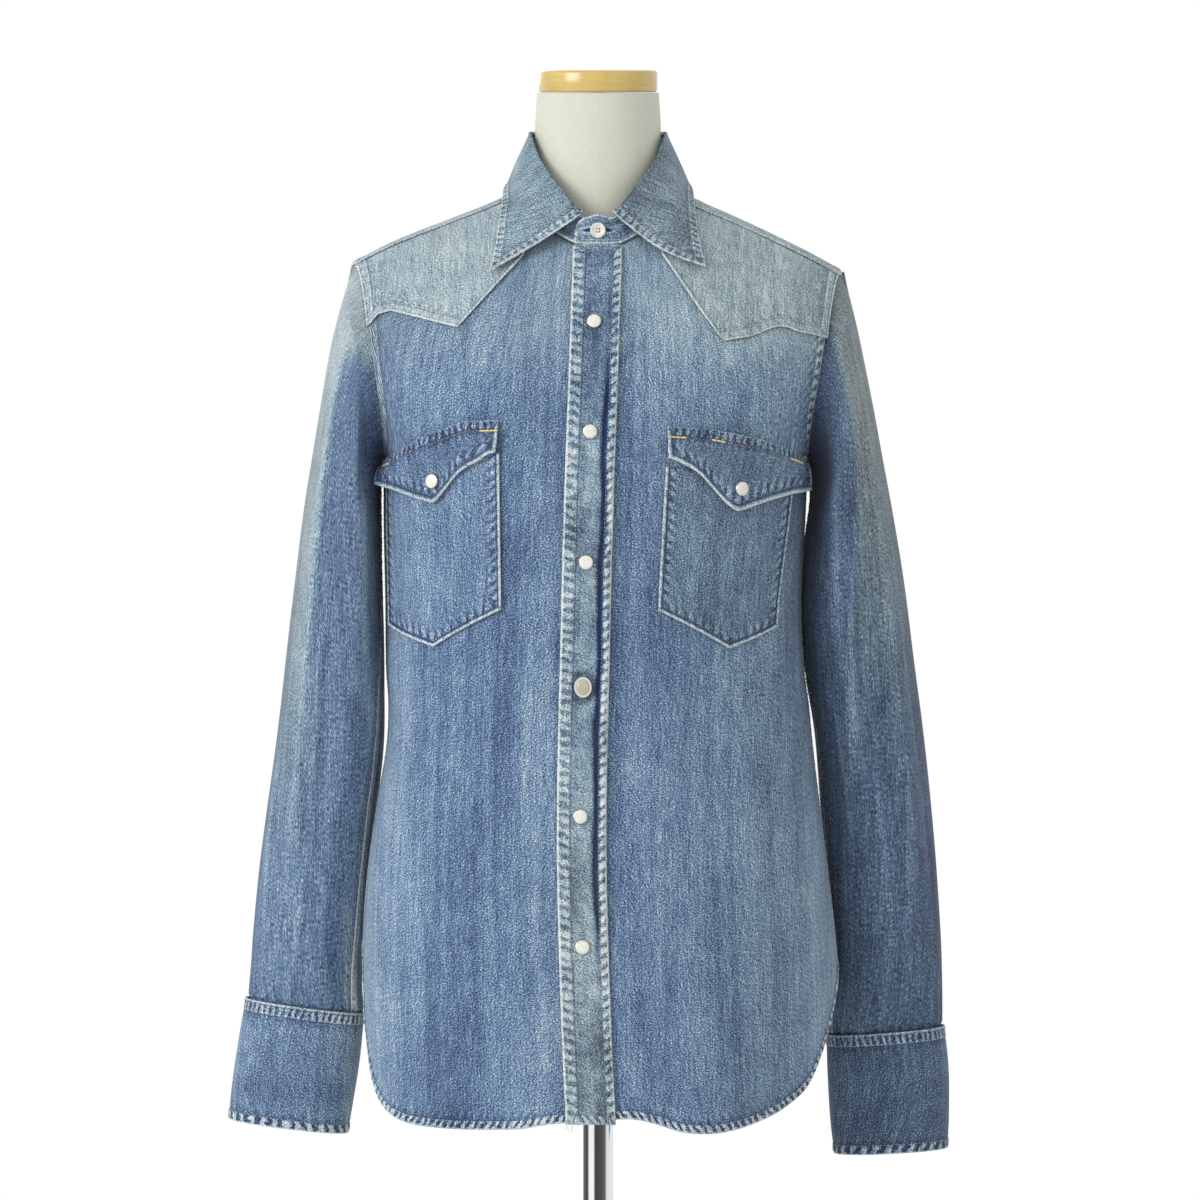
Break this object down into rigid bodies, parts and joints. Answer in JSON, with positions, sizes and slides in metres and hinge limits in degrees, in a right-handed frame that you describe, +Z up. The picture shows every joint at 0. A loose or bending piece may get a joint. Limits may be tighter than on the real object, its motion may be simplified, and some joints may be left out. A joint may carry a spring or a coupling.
{
  "type": "denim shirt on a dress form",
  "caption": "Long-sleeved western snap shirt in faded denim, worn on a limbless dress form with a wooden neck cap, a chrome pole and a round base.",
  "frame": {"origin": "centre of the round base plate's underside, on the surface it stands on", "axes": "+Z up along the pole, -Y the shirt's front, -X the wearer's right side"},
  "size_m": [0.5374, 0.33, 1.4762],
  "materials": {
    "denim_body": "mid blue washed denim twill with slubs and pale worn seams",
    "denim_pale": "faded grey-blue denim twill, worn almost white along its edges",
    "denim_dark": "darker blue denim twill with abraded seams",
    "pearl": "glossy pearl white",
    "steel": "silvery ring round a beige centre",
    "linen": "plain off-white woven cover",
    "wood": "varnished light wood",
    "chrome": "polished chrome"
  },
  "bodies": {
    "root": {"front_left": "denim_body", "front_right": "denim_body", "back": "denim_body", "yoke_back": "denim_pale", "yoke_left": "denim_pale", "yoke_right": "denim_pale", "placket": "denim_pale", "collar_stand": "denim_pale", "collar_leaf": "denim_pale", "pocket_left": "denim_body", "pocket_right": "denim_body", "flap_left": "denim_body", "flap_right": "denim_body", "sleeve_left": "denim_body", "sleeve_right": "denim_body", "sleeve_strip_left": "denim_body", "sleeve_strip_right": "denim_body", "cuff_left": "denim_dark", "cuff_right": "denim_dark", "snap_front_1": "pearl", "snap_front_2": "pearl", "snap_front_3": "pearl", "snap_front_4": "steel", "snap_front_5": "pearl", "snap_front_6": "pearl", "snap_flap_left": "pearl", "snap_flap_right": "pearl", "snap_cuff_left_1": "pearl", "snap_cuff_left_2": "pearl", "snap_cuff_right_1": "pearl", "snap_cuff_right_2": "pearl", "button_stand": "pearl", "form_torso": "linen", "form_cap": "wood", "form_pole": "chrome", "form_base": "chrome"}
  },
  "joints": []
}
